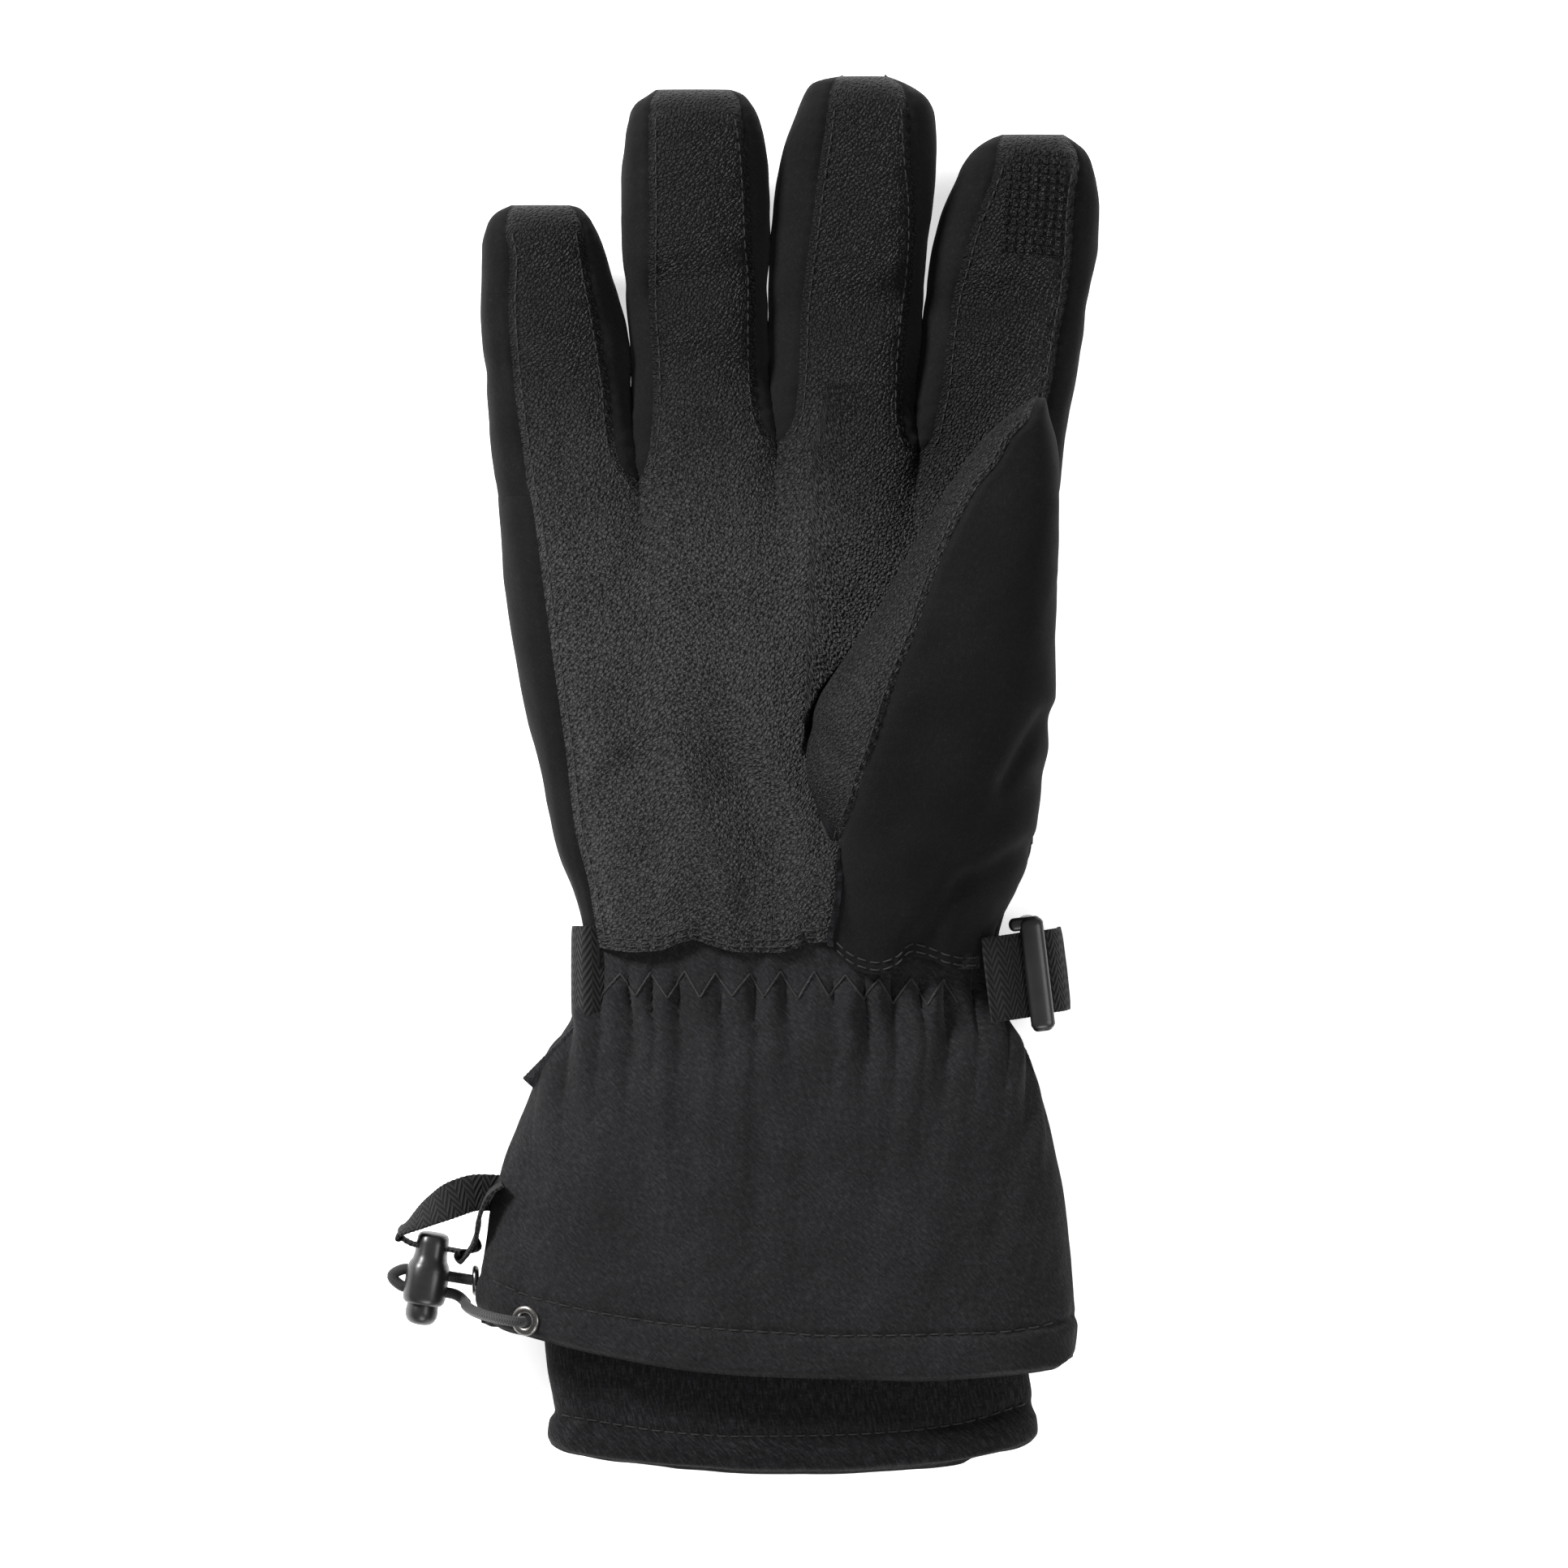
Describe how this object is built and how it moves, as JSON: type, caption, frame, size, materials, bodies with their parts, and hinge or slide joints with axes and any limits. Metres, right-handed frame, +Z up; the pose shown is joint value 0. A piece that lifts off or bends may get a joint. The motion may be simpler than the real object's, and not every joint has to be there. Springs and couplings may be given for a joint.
{
  "type": "ski glove",
  "caption": "Right-hand padded gauntlet ski glove with jointed fingers and thumb, wrist strap with slide buckle, and an elastic hem cord with a push-button cord lock.",
  "frame": {"origin": "centre of the base, where the glove lies on its back, measured without the elastic cord", "axes": "+Y towards the fingertips, +X towards the thumb side, +Z up through the palm"},
  "size_m": [0.1626, 0.3204, 0.061],
  "materials": {
    "leather": "embossed, satin",
    "softshell": "matte stretch softshell",
    "padding": "quilted insulation",
    "lining": "brushed lining",
    "gauntlet_fabric": "matte twill",
    "knit": "ribbed knit",
    "webbing": "woven webbing",
    "elastic": "braided elastic",
    "plastic": "satin moulded",
    "metal": "dark gunmetal",
    "spring_steel": "bright"
  },
  "bodies": {
    "hand": {"palm_leather": "leather", "hand_back_shell": "softshell", "hand_side_gusset": "softshell", "thumb_base_leather": "leather", "thumb_base_shell": "softshell", "fourchette_pinky_ring": "softshell", "fourchette_ring_middle": "softshell", "fourchette_middle_index": "softshell", "insulation_palm": "padding", "insulation_back": "padding", "hand_lining": "lining", "gauntlet_front": "gauntlet_fabric", "gauntlet_back": "gauntlet_fabric", "hem_channel_front": "gauntlet_fabric", "hem_channel_back": "gauntlet_fabric", "gauntlet_lining": "lining", "wrist_elastic": "elastic", "inner_cuff": "knit", "inner_cuff_hem": "knit", "wrist_strap": "webbing", "strap_anchor": "webbing", "side_label": "webbing", "hang_loop": "webbing", "drawcord": "elastic", "eyelet_back": "metal", "eyelet_front": "metal"},
    "index": {"index_leather": "leather", "index_shell": "softshell", "index_liner": "padding"},
    "middle": {"middle_leather": "leather", "middle_shell": "softshell", "middle_liner": "padding"},
    "ring": {"ring_leather": "leather", "ring_shell": "softshell", "ring_liner": "padding"},
    "pinky": {"pinky_leather": "leather", "pinky_shell": "softshell", "pinky_liner": "padding"},
    "thumb": {"thumb_leather": "leather", "thumb_shell": "softshell", "thumb_liner": "padding"},
    "buckle": {"buckle_frame": "plastic"},
    "strap_tail": {"strap_tail": "webbing"},
    "cord_lock": {"cord_lock_body": "plastic", "cord_lock_spring": "spring_steel"},
    "lock_button": {"cord_lock_button": "plastic"}
  },
  "joints": [
    {"name": "index_flex", "type": "hinge", "parent": "hand", "child": "index", "pos_m": [0.06046, 0.1088, 0.016], "axis": [0.9903, -0.1392, 0], "range_deg": [0, 60], "stiffness_Nm_per_rad": 0.02},
    {"name": "middle_flex", "type": "hinge", "parent": "hand", "child": "middle", "pos_m": [0.02326, 0.1068, 0.016], "axis": [0.9986, -0.0523, 0], "range_deg": [0, 60], "stiffness_Nm_per_rad": 0.02},
    {"name": "ring_flex", "type": "hinge", "parent": "hand", "child": "ring", "pos_m": [-0.01064, 0.1018, 0.016], "axis": [1, 0, 0], "range_deg": [0, 60], "stiffness_Nm_per_rad": 0.02},
    {"name": "pinky_flex", "type": "hinge", "parent": "hand", "child": "pinky", "pos_m": [-0.04304, 0.0898, 0.016], "axis": [0.9986, 0.0523, 0], "range_deg": [0, 60], "stiffness_Nm_per_rad": 0.02},
    {"name": "thumb_lift", "type": "hinge", "parent": "hand", "child": "thumb", "pos_m": [0.04296, 0.0158, 0.03], "axis": [0.9511, -0.309, 0], "range_deg": [0, 35], "stiffness_Nm_per_rad": 0.03},
    {"name": "buckle_tilt", "type": "hinge", "parent": "hand", "child": "buckle", "pos_m": [0.06656, -0.0454, 0.0285], "axis": [0.1201, -0.9928, 0], "range_deg": [0, 60]},
    {"name": "strap_tail_flap", "type": "hinge", "parent": "buckle", "child": "strap_tail", "pos_m": [0.06656, -0.0454, 0.019], "axis": [0.1201, -0.9928, 0], "range_deg": [0, 60]},
    {"name": "cord_lock_slide", "type": "slide", "parent": "hand", "child": "cord_lock", "axis": [0.9871, -0.1599, 0], "range_m": [0, 0.003]},
    {"name": "cord_lock_press", "type": "slide", "parent": "cord_lock", "child": "lock_button", "axis": [0.1599, 0.9871, 0], "range_m": [0, 0.002], "stiffness_N_per_m": 300, "deforming": ["cord_lock_spring"]}
  ]
}
